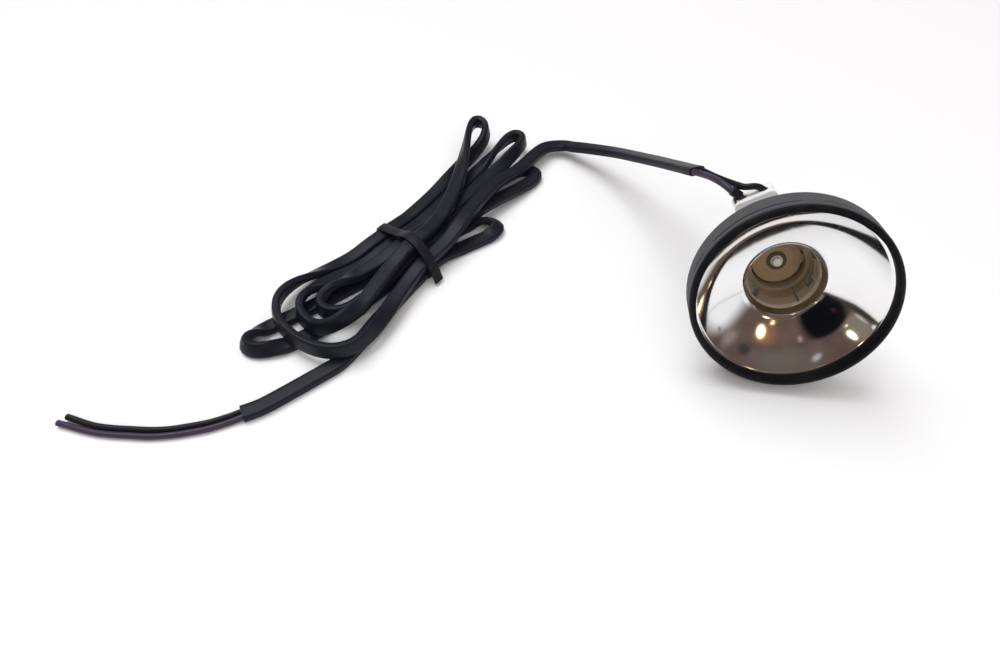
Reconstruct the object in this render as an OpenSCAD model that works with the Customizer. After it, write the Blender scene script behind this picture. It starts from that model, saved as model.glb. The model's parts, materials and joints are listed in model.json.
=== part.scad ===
// Turn signal reflector insert: a mirror bowl in a rubber ring, a bayonet bulb holder behind it
// with its sprung contact, and the two-core lead, still bundled in a hank. Sizes in millimetres.
// The lamp is drawn on its own axes: +Z out of the face, depths counted back from the seat plane,
// where the ring grips the reflector. lamp() then leans it back onto its holder, as it lies.

/* [Reflector] */
// inner radius of the bowl's mouth
mouth_r = 22.9; // [20:0.1:26]
// focal length of the bowl's parabola
focal = 15.4; // [14:0.1:18]
// how much higher than the parabola the bowl's rim zone climbs
rim_rise = 1; // [0:0.1:1.5]
// width of the rim zone
rim_w = 5.9; // [4:0.1:7]
// how much deeper than the parabola the bowl dips at its throat
throat_dip = 0.3; // [0:0.1:0.6]
// width of the zone that dips
dip_w = 1.5; // [1:0.1:3]
// wall of the bowl
bowl_wall = 0.8; // [0.6:0.05:1.2]
// width of the flange outside the mouth
flange_w = 1.3; // [0.8:0.1:2]
// thickness of the flange
flange_t = 0.8; // [0.5:0.1:1.2]
// inner radius of the throat that the bulb goes through
throat_r = 9.3; // [9:0.05:9.6]
// how much wider the throat is where the bowl ends in it
throat_lip = 0.6; // [0.4:0.1:1]
// wall of the short neck behind the throat
neck_wall = 0.9; // [0.8:0.05:1.2]
// length of the neck inside the holder
neck_l = 0.6; // [0.5:0.1:1]
// depth from the bowl's edge at the throat to the flat hub
hub_t = 1.1; // [1:0.1:2]
// width of the flat hub around the neck
hub_w = 1.85; // [1.2:0.05:2.4]

/* [Rubber ring] */
// rubber outside the flange
ring_wall = 0.7; // [0.5:0.1:2]
// how far the bead stands in front of the seat
ring_front = 3.6; // [2.4:0.1:5]
// how far the ring reaches behind the seat
ring_rear = 5; // [3:0.1:7]
// radius of the rounded bead
bead_r = 1.75; // [1:0.05:1.9]
// how much of the flange the rear lip grips
ring_grip = 0.6; // [0.4:0.1:0.7]
// width of the rear lip
rear_lip = 0.8; // [0.3:0.1:1.2]
// width of the mould line round the outside
mould_line_w = 0.3; // [0.2:0.1:0.6]
// depth of the mould line
mould_line_t = 0.2; // [0.1:0.05:0.3]
// distance of the mould line in front of the seat
mould_line_z = 0.5; // [0.3:0.1:0.8]

/* [Gasket] */
// thickness of the gasket under the hub
gasket_t = 0.8; // [0.5:0.1:1.5]

/* [Bulb sleeve] */
// radius of the bayonet bore
bore_r = 7.8; // [7.7:0.01:7.9]
// sheet thickness of the sleeve
sheet = 0.5; // [0.4:0.05:0.6]
// length of the wide barrel
barrel_l = 7.2; // [6.8:0.1:9]
// length of its flared mouth
flare_l = 3; // [1.5:0.1:3.2]
// inner radius of the narrow neck
tail_r = 6.9; // [6.6:0.05:7]
// distance from the shoulder to the rest place of the contact
contact_set = 2.4; // [2:0.1:4]
// width of the slots for the bulb's two pins
pin_slot = 2.4; // [2.2:0.1:2.8]
// direction of the entry slots
entry_at = 47; // [30:1:60]
// direction where the pins come to rest
rest_at = -16; // [-30:1:-10]
// width of the seam in the rolled barrel
seam_w = 0.5; // [0.3:0.1:0.8]
// direction of the seam
seam_at = -51; // [-60:1:-45]

/* [Contact] */
// radius of the insulating disc
disc_r = 6.45; // [6:0.05:6.5]
// thickness of the disc
disc_t = 1.5; // [1:0.1:2]
// width of its two guide ears
ear_w = 2.4; // [2:0.1:3]
// direction of the first ear
ear_at = 12; // [0:1:25]
// distance that the contact can be pushed in
travel = 3; // [2:0.1:3.5]
// radius of the contact's domed tip
tip_r = 1.35; // [1:0.05:1.8]
// height of the tip above the disc
tip_h = 2.1; // [1.6:0.1:2.4]
// radius of the contact's collar
collar_r = 2.55; // [2.1:0.05:3]
// radius of the washer behind the disc
retainer_r = 2.6; // [2.2:0.1:3]
// diameter of the spring wire
spring_wire = 0.6; // [0.4:0.05:0.8]
// mean radius of the spring
spring_r = 4.3; // [4:0.1:4.8]
// number of turns
turns = 4; // [3:1:5]
// room for the spring between disc and plate
spring_l = 6.5; // [6:0.1:8]
// radius of the live plate
plate_r = 5.5; // [5.2:0.1:6]
// thickness of the live plate
plate_t = 0.6; // [0.4:0.1:0.8]
// thickness of the insulating washer
washer_t = 1; // [0.6:0.1:1.5]

/* [Holder] */
// wall of the white holder
holder_wall = 1.3; // [1.2:0.1:1.4]
// thickness of the floor that the spring works against
floor_t = 1.2; // [1:0.1:2]
// radius of the hole in the floor
floor_hole = 2.2; // [2:0.1:2.6]
// distance from the seat to the end of the foot under the cap
back_d = 45; // [43:0.5:52]
// reach of that foot from the axis
foot_r = 12; // [11.5:0.1:13]
// width of the foot
foot_w = 3; // [2:0.1:4]
// thickness of the cap's flange
cap_t = 1.2; // [1:0.1:1.5]
// radius of the cap's boss
boss_r = 8; // [7.5:0.1:9]
// length of the cap's plug inside the holder
plug_l = 1; // [0.6:0.1:1.4]
// direction of the arm that carries the wires
arm_at = 120; // [110:1:130]
// reach of the arm from the axis
arm_reach = 21.8; // [20:0.1:24]
// width of the arm
arm_w = 10.8; // [10:0.1:13]
// thickness of the arm
arm_t = 6; // [4:0.1:8]
// depth from the holder's front to the arm
arm_set = 4.9; // [3:0.1:7]
// thickness of the spine down the holder's side
spine_t = 3.6; // [3.4:0.1:5]

/* [Lead] */
// diameter of each insulated wire
wire_d = 1.7; // [1.4:0.1:1.8]
// width of the flat sheath
sheath_w = 4.6; // [4:0.1:4.8]
// thickness of the flat sheath
sheath_t = 2.4; // [2:0.1:2.5]
// width of the strap round the hank
strap_w = 3.3; // [2:0.1:5]
// thickness of the strap
strap_t = 0.7; // [0.5:0.05:0.7]

/* [Hidden] */
$fn = 64;
// play between pieces that are pushed into each other
fit = 0.05;
// play between pieces that move
play = 0.25;

// radii that follow from the sizes above
flange_r = mouth_r + flange_w;
groove_r = flange_r + 2 * fit;
ring_r = groove_r + ring_wall;
lip_r = throat_r + throat_lip;
neck_r = throat_r + neck_wall;
hub_r = neck_r + hub_w;
barrel_r = bore_r + sheet;
tail_out = tail_r + sheet;
holder_bore = neck_r + fit;
holder_r = holder_bore + holder_wall;
ear_r = tail_out - 0.15;

// depths behind the seat plane that follow from the sizes above
lip_d = bowl_depth(lip_r);
hub_d = lip_d + hub_t;
holder_d = hub_d + gasket_t;
neck_d = holder_d + neck_l;
mouth_d = neck_d + fit;
shoulder_d = mouth_d + barrel_l;
step_d = shoulder_d + sheet;
disc_d = step_d + contact_set;
plate_d = disc_d + disc_t + spring_l;
washer_d = plate_d + plate_t;
floor_d = washer_d + washer_t;
room_d = floor_d + floor_t;
wire_z = room_d + 2.3;
cap_d = wire_z + 2.7;
arm_d = holder_d + arm_set;
exit_d = arm_d + arm_t / 2;

// the lamp leans back until the foot touches the surface
lean = atan((ring_r - foot_r) / (back_d - ring_rear));
front_y = sin(lean) * (ring_r - bead_r) + cos(lean) * (ring_front - bead_r) + bead_r;
rear_y = cos(lean) * back_d + sin(lean) * foot_r;
seat_y = (front_y - rear_y) / 2;
seat_z = ring_rear * sin(lean) + ring_r * cos(lean);
boss_d = (rear_y - sin(lean) * boss_r) / cos(lean);

// wires inside the holder: distance out along the arm, distance across it, depth
wire_r = wire_d / 2;
duct_r = wire_r + 0.15;
spine_u = holder_r + 1.6;
exit_turn = 30;
exit_run = 2.6;
stub = 0.8;
live_v = 2.7;
earth_v = -2.7;
clamp_v = arm_w / 2 - 1.05;
function duct(v) = [
    [arm_reach, v, exit_d],
    [arm_reach - exit_run * cos(exit_turn), v - exit_run * sin(exit_turn), exit_d],
    [spine_u, v - exit_run * sin(exit_turn), exit_d],
    [spine_u, v - exit_run * sin(exit_turn), wire_z],
    [holder_bore - 1, v - exit_run * sin(exit_turn), wire_z]];
function outside(v) = [arm_reach + stub * cos(exit_turn), v + stub * sin(exit_turn), exit_d];

// places of the lead on the surface, in the part's own frame, chosen by hand
sheath_start = [-23.8, 17.8, 34];
hank_in = [-59.1, 66.8, 4.7];
hank_out = [-119.4, -43.3, 1.2];
sheath_stop = [-133.5, -56.7, 1.2];
black_route = [[-9.3, 5.6, 39.4], [-11, 5.5, 39.7], [-13.4, 5.8, 39], [-15.8, 8.2, 38],
    [-17.9, 11.2, 36.7], [-20, 14.3, 35.5], [-22.7, 18.5, 34]];
purple_route = [[-13.9, 4.7, 36.9], [-16.2, 4.9, 38], [-18.6, 7.5, 38.2], [-20.7, 11, 37.1],
    [-22.5, 14.3, 35.5], [-24.8, 17.3, 34]];
lead_route = [sheath_start, [-25.3, 21.1, 32], [-27.4, 26.1, 29], [-32.1, 36.2, 23],
    [-37.5, 45.5, 17.5], [-43.5, 54.1, 12.5], [-49.5, 60.1, 8.9], [-55.3, 64.6, 6.1], hank_in];
tail_route = [hank_out, [-122.5, -46.7, 1.2], [-127.5, -52, 1.2], [-130, -54.3, 1.2], sheath_stop];
black_tail = [[-134, -56, 1.1], [-136.5, -57.6, 0.9], [-140.7, -60.1, 0.9], [-145.1, -61.9, 0.9],
    [-149.6, -63.5, 0.9], [-154.3, -64.5, 0.9], [-159.4, -65, 0.9], [-164.4, -65.4, 0.9],
    [-169.8, -65.3, 0.9], [-177.3, -63.9, 0.9]];
purple_tail = [[-133, -57.4, 1.1], [-135.5, -59.1, 0.9], [-139.8, -61.7, 0.9], [-144.4, -63.7, 0.9],
    [-149.1, -65.3, 0.9], [-154, -66.4, 0.9], [-159.2, -66.9, 0.9], [-164.4, -67.3, 0.9],
    [-169.9, -67.2, 0.9], [-178.7, -66, 0.9]];

// the hank: its waist, the way it lies, and its strands in places along it, across it and up
waist = [-106.2, 8.6, 0];
hank_way = [0.48929, 0.87212, 0];
// where each of the nine strands crosses the waist, and the layer it lies in there
strand_w = [-10.4, -5.2, 0, -5.2, 0, 5.2, -4.6, 10.4, -10.4];
strand_layer = [0, 0, 0, 1, 1, 0, 2, 0, 1];
// each loop's reach, place across, half width (its sign is the way it turns), swing of the
// returning strand, layer at its far end, and when it has climbed back
far_loops = [[27, -13.5, -3.6, 0, 0, 0.88], [57, -6.5, 3.6, 0, 0, 0.88],
    [67, 6.2, -2.8, 0, 1, 0.88], [62, 19.5, 4.4, 4.5, 2, 0.72]];
near_loops = [[56, 7.5, -3.6, 0, 0, 0.88], [36, 0.5, -5.6, 0, 1, 0.88],
    [43, 0.5, 9.6, 0, 1, 0.7], [49, -0.8, 15.6, 0, 1, 0.88]];
tail_leg = [[-51.7, -13.9, 1.2], [-48.3, -14.7, 1.2], [-43, -15.6, 1.2], [-35, -14.8, 1.2],
    [-25, -13, 1.2], [-13, -11.2, 1.2]];
lead_leg = [[0, -10.4, 5.2], [8, -10.3, 5.9], [15, -9.4, 7.3], [24, -7.4, 7.3], [33, -6, 7.3],
    [41, -5.2, 6.6], [49, -4.9, 4.8], [56, -4.6, 4.25], [63, -3.8, 3.9], [69.5, -4, 3.3],
    [73.86, -8.2, 3.3], [73.8, -12.6, 4.7]];
layer_h = sheath_t + 0.65;
strap_gap = 0.25;
lift = strap_t + strap_gap;

function unit(v) = v / norm(v);
function smooth(a, b, t) = let (x = min(max((t - a) / (b - a), 0), 1)) x * x * (3 - 2 * x);

// the bowl: a parabola that climbs more steeply in its rim zone and dips at its throat
function in_rim(r) = max(0, r - mouth_r + rim_w) / rim_w;
function in_dip(r) = max(0, lip_r + dip_w - r) / dip_w;
function bowl_depth(r) = (mouth_r * mouth_r - r * r) / (4 * focal)
    + rim_rise * (1 - pow(in_rim(r), 2)) + throat_dip * pow(in_dip(r), 2);
function bowl_slope(r) = r / (2 * focal)
    + 2 * rim_rise * in_rim(r) / rim_w + 2 * throat_dip * in_dip(r) / dip_w;
// a point of its inner face, and the same point moved out by the wall
function bowl_in(r) = [r, -bowl_depth(r)];
function bowl_out(r) = let (s = bowl_slope(r)) bowl_in(r) + bowl_wall / norm([s, 1]) * [s, -1];

// the lamp's own axes, leant back on the surface
module lamp() translate([0, seat_y, seat_z]) rotate([90 - lean, 0, 0]) children();

// a plain ring between two depths
module washer(r_in, r_out, d1, d2) {
    rotate_extrude() polygon([[r_in, -d1], [r_out, -d1], [r_out, -d2], [r_in, -d2]]);
}

// a block out along one direction: from and to along it, width, from and to in depth
module block(at, u1, u2, w, d1, d2) {
    rotate([0, 0, at]) translate([u1, -w / 2, -d2]) cube([u2 - u1, w, d2 - d1]);
}

// a curved slot through the sleeve's wall between two directions
module wall_slot(a1, a2, d1, d2) {
    translate([0, 0, -d2]) rotate([0, 0, a1]) rotate_extrude(angle = a2 - a1)
        translate([bore_r - 1, 0]) square([neck_r - bore_r + 2, d2 - d1]);
}

// round ducts through places given out along the arm, across it and in depth
module ducts(places, r) {
    rotate([0, 0, arm_at]) for (i = [0 : len(places) - 2]) {
        a = [places[i].x, places[i].y, -places[i].z];
        b = [places[i + 1].x, places[i + 1].y, -places[i + 1].z];
        run = b - a;
        translate(a) rotate([0, acos(run.z / norm(run)), atan2(run.y, run.x)])
            translate([0, 0, -r]) cylinder(h = norm(run) + 2 * r, r = r, $fn = 24);
    }
}

// the same places as a wire, with its corners eased
function eased(P, r) = concat([P[0]], [for (i = [1 : len(P) - 2], t = [0, 0.5, 1])
    P[i] + r * (1 - t) * (1 - t) * unit(P[i - 1] - P[i]) + r * t * t * unit(P[i + 1] - P[i])],
    [P[len(P) - 1]]);
module inner_wire(places) {
    rotate([0, 0, arm_at]) cord([for (p = eased(places, 1.2)) [p.x, p.y, -p.z]],
        wire_d, wire_d, 8, [0, 1, 0]);
}

// a cord with an oval section swept through its places, as one polyhedron
module cord(places, w, t, sides = 8, across = [0, 0, 1]) {
    n = len(places);
    along = [for (i = [0 : n - 1]) unit(
        i == 0 ? places[1] - places[0] :
        i == n - 1 ? places[n - 1] - places[n - 2] :
        unit(places[i + 1] - places[i]) + unit(places[i] - places[i - 1]))];
    side = [for (v = along) unit(cross(v, across))];
    up = [for (i = [0 : n - 1]) cross(side[i], along[i])];
    ring = [for (i = [0 : n - 1], k = [0 : sides - 1]) places[i]
        + w / 2 * cos((k + 0.5) * 360 / sides) * side[i]
        + t / 2 * sin((k + 0.5) * 360 / sides) * up[i]];
    last = (n - 1) * sides;
    walls = [for (i = [0 : n - 2], k = [0 : sides - 1], half = [0, 1])
        let (a = i * sides + k, b = i * sides + (k + 1) % sides)
        half == 0 ? [a, b, b + sides] : [a, b + sides, a + sides]];
    ends = [for (k = [1 : sides - 2], half = [0, 1])
        half == 0 ? [0, k + 1, k] : [last, last + k, last + k + 1]];
    polyhedron(points = ring, faces = concat(walls, ends), convexity = 8);
}

// makes a narrow loop's end as round as the loop is wide
function fuller(loop, x) = let (k = max(0, 1 - 6.76 * abs(loop[2]) / loop[0]))
    x / sqrt(1 - k + k * x * x);
// one loop of the hank out from the waist (away = 1 or -1) and back, at time t from 0 to 1
function layer_z(k) = sheath_t / 2 + layer_h * k;
function loop_at(away, loop, w1, w2, z1, z2, t) = let (
    s = away * loop[0] * sin(180 * t),
    out = pow(sin(180 * t), 2),
    w = (w1 + (w2 - w1) * smooth(0, 1, t)) * (1 - out) + loop[1] * out
        + 1.3 * loop[2] * sin(180 * t) * fuller(loop, sin(360 * t))
        + (t > 0.5 ? loop[3] * pow(sin(360 * t), 2) : 0),
    far_z = layer_z(loop[4]),
    z = t < 0.5 ? z1 + (far_z - z1) * smooth(0.12, 0.4, t)
        : far_z + (z2 - far_z) * smooth(loop[5] > 0.8 ? 0.6 : 0.5, loop[5], t))
    [s, w, z + lift * (1 - smooth(4, 12, abs(s)))];
function hank_loops(steps) = [for (k = [0 : 7], i = [0 : steps - 1])
    let (loop = k % 2 == 0 ? far_loops[k / 2] : near_loops[(k - 1) / 2])
    loop_at(k % 2 == 0 ? 1 : -1, loop, strand_w[k], strand_w[k + 1],
        layer_z(strand_layer[k]), layer_z(strand_layer[k + 1]), i / steps)];
function on_surface(p) = waist + p.x * hank_way + p.y * [-hank_way.y, hank_way.x, 0] + [0, 0, p.z];
// a smooth run through places, for the two ends of the hank
function through(P, steps) = [for (i = [0 : len(P) - 2], k = [0 : steps - 1]) let (
    a = i == 0 ? 2 * P[0] - P[1] : P[i - 1],
    d = i == len(P) - 2 ? 2 * P[i + 1] - P[i] : P[i + 2],
    b = P[i], c = P[i + 1], t = k / steps)
    0.5 * (2 * b + (c - a) * t + (2 * a - 5 * b + 4 * c - d) * t * t
        + (3 * b - 3 * c + d - a) * t * t * t)];
function hank_path(steps) = let (
    first = hank_loops(steps)[0],
    fine = max(1, round(steps / 6)))
    [for (p = steps <= 12 ? tail_leg : through(concat(tail_leg, [first]), fine)) on_surface(p),
     for (p = hank_loops(steps)) on_surface(p),
     for (p = steps <= 12 ? lead_leg : concat(through(lead_leg, fine), [lead_leg[11]])) on_surface(p)];

// least gap of the hank to itself, from its centre line and the oval section on it
function reach(i, v, along, side) = norm([sheath_w / 2 * (v * side[i]),
    sheath_t / 2 * (v * cross(side[i], along[i]))]);
function least_gap(P, apart) = let (
    n = len(P),
    run = [for (i = 0, s = 0; i < n; s = s + (i < n - 1 ? norm(P[i + 1] - P[i]) : 0), i = i + 1) s],
    along = [for (i = [0 : n - 1]) unit(P[min(i + 1, n - 1)] - P[max(i - 1, 0)])],
    side = [for (v = along) unit(cross(v, [0, 0, 1]))])
    min([for (i = [0 : n - 2], j = [i + 1 : n - 1])
        let (v = P[j] - P[i], far = norm(v))
        run[j] - run[i] < apart || far > 9 ? 9
            : far - reach(i, v / far, along, side) - reach(j, v / far, along, side)]);

module rim_ring() {
    c = ring_r - bead_r;
    round_in = min(0.35, c - mouth_r);
    color([0.06, 0.06, 0.07]) lamp() difference() {
        rotate_extrude() polygon(concat(
            [[groove_r, 0], [mouth_r, 0]],
            [for (a = [180 : -30 : 90]) [mouth_r + round_in, ring_front - round_in]
                + round_in * [cos(a), sin(a)]],
            [for (a = [90 : -10 : 0]) [c, ring_front - bead_r] + bead_r * [cos(a), sin(a)]],
            [[ring_r, mould_line_z + mould_line_w], [ring_r - mould_line_t, mould_line_z + mould_line_w],
             [ring_r - mould_line_t, mould_line_z], [ring_r, mould_line_z],
             [ring_r, -ring_rear], [flange_r - ring_grip - rear_lip, -ring_rear],
             [flange_r - ring_grip - rear_lip, -flange_t - 1.7], [flange_r - ring_grip, -flange_t],
             [groove_r, -flange_t]]));
        rotate([0, 0, 54]) translate([ring_r - 0.5, -0.6, -ring_rear - 0.1]) cube([1, 1.2, 0.7]);
    }
}

module reflector() {
    steps = 18;
    color([0.8, 0.8, 0.82]) lamp() rotate_extrude() polygon(concat(
        [[flange_r, -flange_t], [flange_r, 0], [mouth_r, 0]],
        [for (i = [1 : steps]) bowl_in(mouth_r + (lip_r - mouth_r) * i / steps)],
        [[throat_r, -neck_d], [neck_r, -neck_d], [neck_r, -hub_d], [hub_r, -hub_d]],
        [for (i = [steps - 1 : -1 : 0]) let (p = bowl_out(lip_r + (mouth_r - lip_r) * (1 - i / steps)))
            if (p.x > hub_r && p.y < -flange_t - 0.1) p],
        [[bowl_out(mouth_r).x, -flange_t]]));
}

module seat_gasket() {
    color([0.1, 0.1, 0.11]) lamp() washer(holder_bore, hub_r, hub_d, holder_d);
}

module bulb_sleeve() {
    slot_d = shoulder_d - pin_slot - 2;
    half = pin_slot / bore_r * 90 / PI;
    color([0.62, 0.52, 0.38]) lamp() difference() {
        rotate_extrude() polygon([[throat_r, -mouth_d], [neck_r, -mouth_d],
            [neck_r, -mouth_d - sheet], [throat_r + 0.4, -mouth_d - sheet],
            [barrel_r, -mouth_d - flare_l - 0.3], [barrel_r, -step_d], [tail_out, -step_d],
            [tail_out, -plate_d - 0.4], [tail_r, -plate_d - 0.4], [tail_r, -shoulder_d],
            [bore_r, -shoulder_d], [bore_r, -mouth_d - flare_l]]);
        for (turn = [0, 180]) {
            wall_slot(entry_at - half + turn, entry_at + half + turn, mouth_d + sheet + 0.1,
                slot_d + pin_slot);
            wall_slot(rest_at - half + turn, entry_at + turn, slot_d, slot_d + pin_slot);
            wall_slot(rest_at - half + turn, rest_at + half + turn, slot_d - 0.9, slot_d + 1);
            block(ear_at + turn, tail_r - 0.5, tail_out + 0.5, ear_w + 2 * play, disc_d - play,
                disc_d + disc_t + travel + play);
        }
        block(seam_at, bore_r - 0.5, neck_r + 0.5, seam_w, mouth_d + sheet + 0.1, shoulder_d - 0.3);
    }
}

module contact_disc() {
    color([0.58, 0.5, 0.32]) lamp() difference() {
        union() {
            translate([0, 0, -disc_d - disc_t]) cylinder(h = disc_t, r = disc_r);
            for (turn = [0, 180]) block(ear_at + turn, disc_r - 1, ear_r, ear_w, disc_d, disc_d + disc_t);
        }
        translate([0, 0, -disc_d - disc_t - 1]) cylinder(h = disc_t + 2, r = tip_r - 0.2);
    }
}

module centre_contact() {
    shank = tip_r - 0.25;
    color([0.85, 0.85, 0.86]) lamp() rotate_extrude() polygon(concat(
        [for (a = [90 : -15 : 0]) [tip_r * cos(a), -disc_d + tip_h - tip_r * 0.7 * (1 - sin(a))]],
        [[tip_r, -disc_d + 0.5], [collar_r, -disc_d + 0.5], [collar_r, -disc_d],
         [shank, -disc_d], [shank, -disc_d - disc_t - 0.5], [shank + 0.6, -disc_d - disc_t - 0.5],
         [shank + 0.4, -disc_d - disc_t - 1], [0, -disc_d - disc_t - 1]]));
}

module contact_retainer() {
    color([0.75, 0.7, 0.55]) lamp()
        washer(tip_r - 0.2, retainer_r, disc_d + disc_t, disc_d + disc_t + 0.5);
}

module contact_spring() {
    free = spring_l - spring_wire;
    color([0.7, 0.72, 0.74]) lamp() cord([for (i = [0 : 8 * turns])
        [spring_r * cos(45 * i), spring_r * sin(45 * i),
         -plate_d + spring_wire / 2 + free * i / (8 * turns)]], spring_wire, spring_wire, 6);
}

module live_terminal() {
    color([0.78, 0.66, 0.35]) lamp() {
        translate([0, 0, -plate_d - plate_t]) cylinder(h = plate_t, r = plate_r);
        block(arm_at, -plate_t / 2, plate_t / 2, floor_hole * 1.3, plate_d + plate_t / 2, wire_z + 1);
    }
}

module insulating_washer() {
    color([0.45, 0.3, 0.18]) lamp()
        washer(floor_hole, tail_out - fit, washer_d, floor_d);
}

module holder_body() {
    spine_out = holder_r + spine_t;
    color([0.92, 0.92, 0.9]) lamp() difference() {
        union() {
            translate([0, 0, -cap_d]) cylinder(h = cap_d - holder_d, r = holder_r);
            block(arm_at, holder_r - 2, spine_out, arm_w, arm_d, wire_z + 1.6);
            block(arm_at, holder_r - 2, arm_reach - 1.5, arm_w, arm_d, arm_d + arm_t);
            block(arm_at, holder_r - 2, arm_reach, arm_w - 3, arm_d, arm_d + arm_t);
            rotate([0, 0, arm_at]) for (s = [-1, 1])
                translate([arm_reach - 1.5, s * (arm_w / 2 - 1.5), -arm_d - arm_t])
                    cylinder(h = arm_t, r = 1.5, $fn = 32);
        }
        translate([0, 0, -shoulder_d]) cylinder(h = shoulder_d, r = holder_bore);
        translate([0, 0, -step_d]) cylinder(h = step_d, r = barrel_r + fit);
        translate([0, 0, -floor_d]) cylinder(h = floor_d, r = tail_out + fit);
        translate([0, 0, -room_d - 1]) cylinder(h = room_d, r = floor_hole);
        translate([0, 0, -cap_d - 1]) cylinder(h = cap_d + 1 - room_d, r = holder_bore);
        block(arm_at, tail_out - 1, tail_out + 0.8, 3.4, step_d + 4.5, room_d + 1);
        rotate([0, 0, arm_at]) translate([arm_reach - 7.1, clamp_v - 0.05, -exit_d - 1.6]) cube([8, 0.6, 3.2]);
        ducts(duct(live_v), duct_r);
        ducts(duct(earth_v), duct_r);
    }
}

module holder_cap() {
    plug_r = holder_bore - fit;
    color([0.88, 0.88, 0.86]) lamp() {
        rotate_extrude() polygon([[0, -boss_d], [boss_r, -boss_d], [boss_r, -cap_d - cap_t],
            [holder_r, -cap_d - cap_t], [holder_r, -cap_d], [plug_r, -cap_d],
            [plug_r, -cap_d + plug_l], [plug_r - 1.3, -cap_d + plug_l], [plug_r - 1.3, -cap_d],
            [boss_r - 1.5, -cap_d], [boss_r - 1.5, -boss_d + 1.5], [0, -boss_d + 1.5]]);
        block(-90, boss_r - 0.8, foot_r, foot_w, back_d - 4, back_d);
    }
}

module wire_clamp() {
    color([0.3, 0.28, 0.26]) lamp() rotate([0, 0, arm_at])
        translate([arm_reach - 7, clamp_v, -exit_d - 1.5]) cube([7.2, 0.5, 3]);
}

module wire_end_sleeve() {
    at = outside(live_v);
    color([0.08, 0.08, 0.09]) lamp() rotate([0, 0, arm_at])
        translate([at.x, at.y, -at.z]) rotate([0, 90, exit_turn]) difference() {
            cylinder(h = 2.6, r = wire_r + 0.4, $fn = 32);
            translate([0, 0, -1]) cylinder(h = 5, r = wire_r + fit, $fn = 32);
        }
}

module live_wire_inner() {
    color([0.35, 0.27, 0.38]) lamp() inner_wire(concat([outside(live_v)],
        [for (i = [1 : 4]) duct(live_v)[i]], [[1.6, 1.2, wire_z]]));
}

module earth_wire_inner() {
    color([0.09, 0.09, 0.1]) lamp() inner_wire(concat([outside(earth_v)],
        [for (i = [1 : 4]) duct(earth_v)[i]], [[tail_out - 0.8, earth_v - 0.6, wire_z]]));
}

module earth_tab() {
    color([0.7, 0.62, 0.45]) lamp() rotate([0, 0, arm_at])
        translate([tail_out, -1.6, -wire_z]) cube([0.5, 1.9, wire_z - step_d - 5]);
}

module live_solder() {
    color([0.7, 0.7, 0.72]) difference() {
        lamp() rotate([0, 0, arm_at]) translate([plate_t / 2, 1.2, -wire_z]) rotate([0, 90, 0])
            cylinder(h = 1.7, r1 = 1.35, r2 = 1.05, $fn = 32);
        live_wire_inner();
    }
}

module earth_solder() {
    color([0.7, 0.7, 0.72]) difference() {
        lamp() rotate([0, 0, arm_at]) translate([tail_out - 0.1, -2.2, -wire_z - 1.1])
            cylinder(h = 2.2, r = 1.25, $fn = 32);
        earth_tab();
        earth_wire_inner();
    }
}

module black_wire_lead() color([0.09, 0.09, 0.1]) cord(black_route, wire_d, wire_d);
module purple_wire_lead() color([0.35, 0.27, 0.38]) cord(purple_route, wire_d, wire_d);
module sheath_lead() color([0.11, 0.11, 0.12]) cord(lead_route, sheath_w, sheath_t);
module sheath_hank() color([0.11, 0.11, 0.12]) cord(hank_path(12), sheath_w, sheath_t);
module sheath_tail() color([0.11, 0.11, 0.12]) cord(tail_route, sheath_w, sheath_t);
module black_wire_tail() color([0.09, 0.09, 0.1]) cord(black_tail, wire_d, wire_d);
module purple_wire_tail() color([0.35, 0.27, 0.38]) cord(purple_tail, wire_d, wire_d);

// a corner of a convex outline moved out by a distance, square to both sides
function moved(P, i, d) = let (
    n = len(P), a = unit(P[i] - P[(i + n - 1) % n]), b = unit(P[(i + 1) % n] - P[i]))
    P[i] + d / (1 + a * b) * [a.y + b.y, -a.x - b.x];

module hank_strap() {
    half = sheath_w / 2 + 10.4 + strap_gap;
    low = strap_t + 0.05;
    top0 = layer_z(0) + lift + sheath_t / 2 + strap_gap;
    inner = [[-half, low], [half, low], [half, top0 - 0.6], [2.3, top0 + layer_h + 0.3],
        [-2.4, top0 + 2 * layer_h], [-6.9, top0 + 2 * layer_h], [-half, top0 + layer_h - 0.6]];
    color([0.14, 0.14, 0.15]) translate(waist) rotate([0, 0, atan2(hank_way.y, hank_way.x)])
        rotate([90, 0, 90]) translate([0, 0, -strap_w / 2]) {
            linear_extrude(strap_w) difference() {
                polygon([for (i = [0 : len(inner) - 1]) moved(inner, i, strap_t)]);
                polygon(inner);
            }
            linear_extrude(strap_w) polygon([[-half - 0.2, top0 + 1.6], [-half - 0.8, top0 + 1.8],
                [-half - 3.6, 0.9], [-half - 3, 0.5]]);
        }
}

rim_ring();
reflector();
seat_gasket();
bulb_sleeve();
contact_disc();
centre_contact();
contact_retainer();
contact_spring();
live_terminal();
insulating_washer();
holder_body();
holder_cap();
earth_tab();
wire_clamp();
wire_end_sleeve();
live_wire_inner();
earth_wire_inner();
live_solder();
earth_solder();
black_wire_lead();
purple_wire_lead();
sheath_lead();
sheath_hank();
hank_strap();
sheath_tail();
black_wire_tail();
purple_wire_tail();

// least gaps, in millimetres, of the wound pieces to themselves
echo(hank_gap = least_gap(hank_path(36), 3 * sheath_w));  // sheath_hank
echo(spring_gap = (spring_l - spring_wire) / turns - spring_wire);  // contact_spring
echo(lean = lean, seat_y = seat_y, seat_z = seat_z, holder_d = holder_d,
    mouth_d = mouth_d, step_d = step_d, disc_d = disc_d, plate_d = plate_d, room_d = room_d,
    wire_z = wire_z, exit_d = exit_d, holder_r = holder_r);
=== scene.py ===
import json
import math

import bmesh
import bpy
import numpy as np
from mathutils import Matrix, Vector


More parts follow.
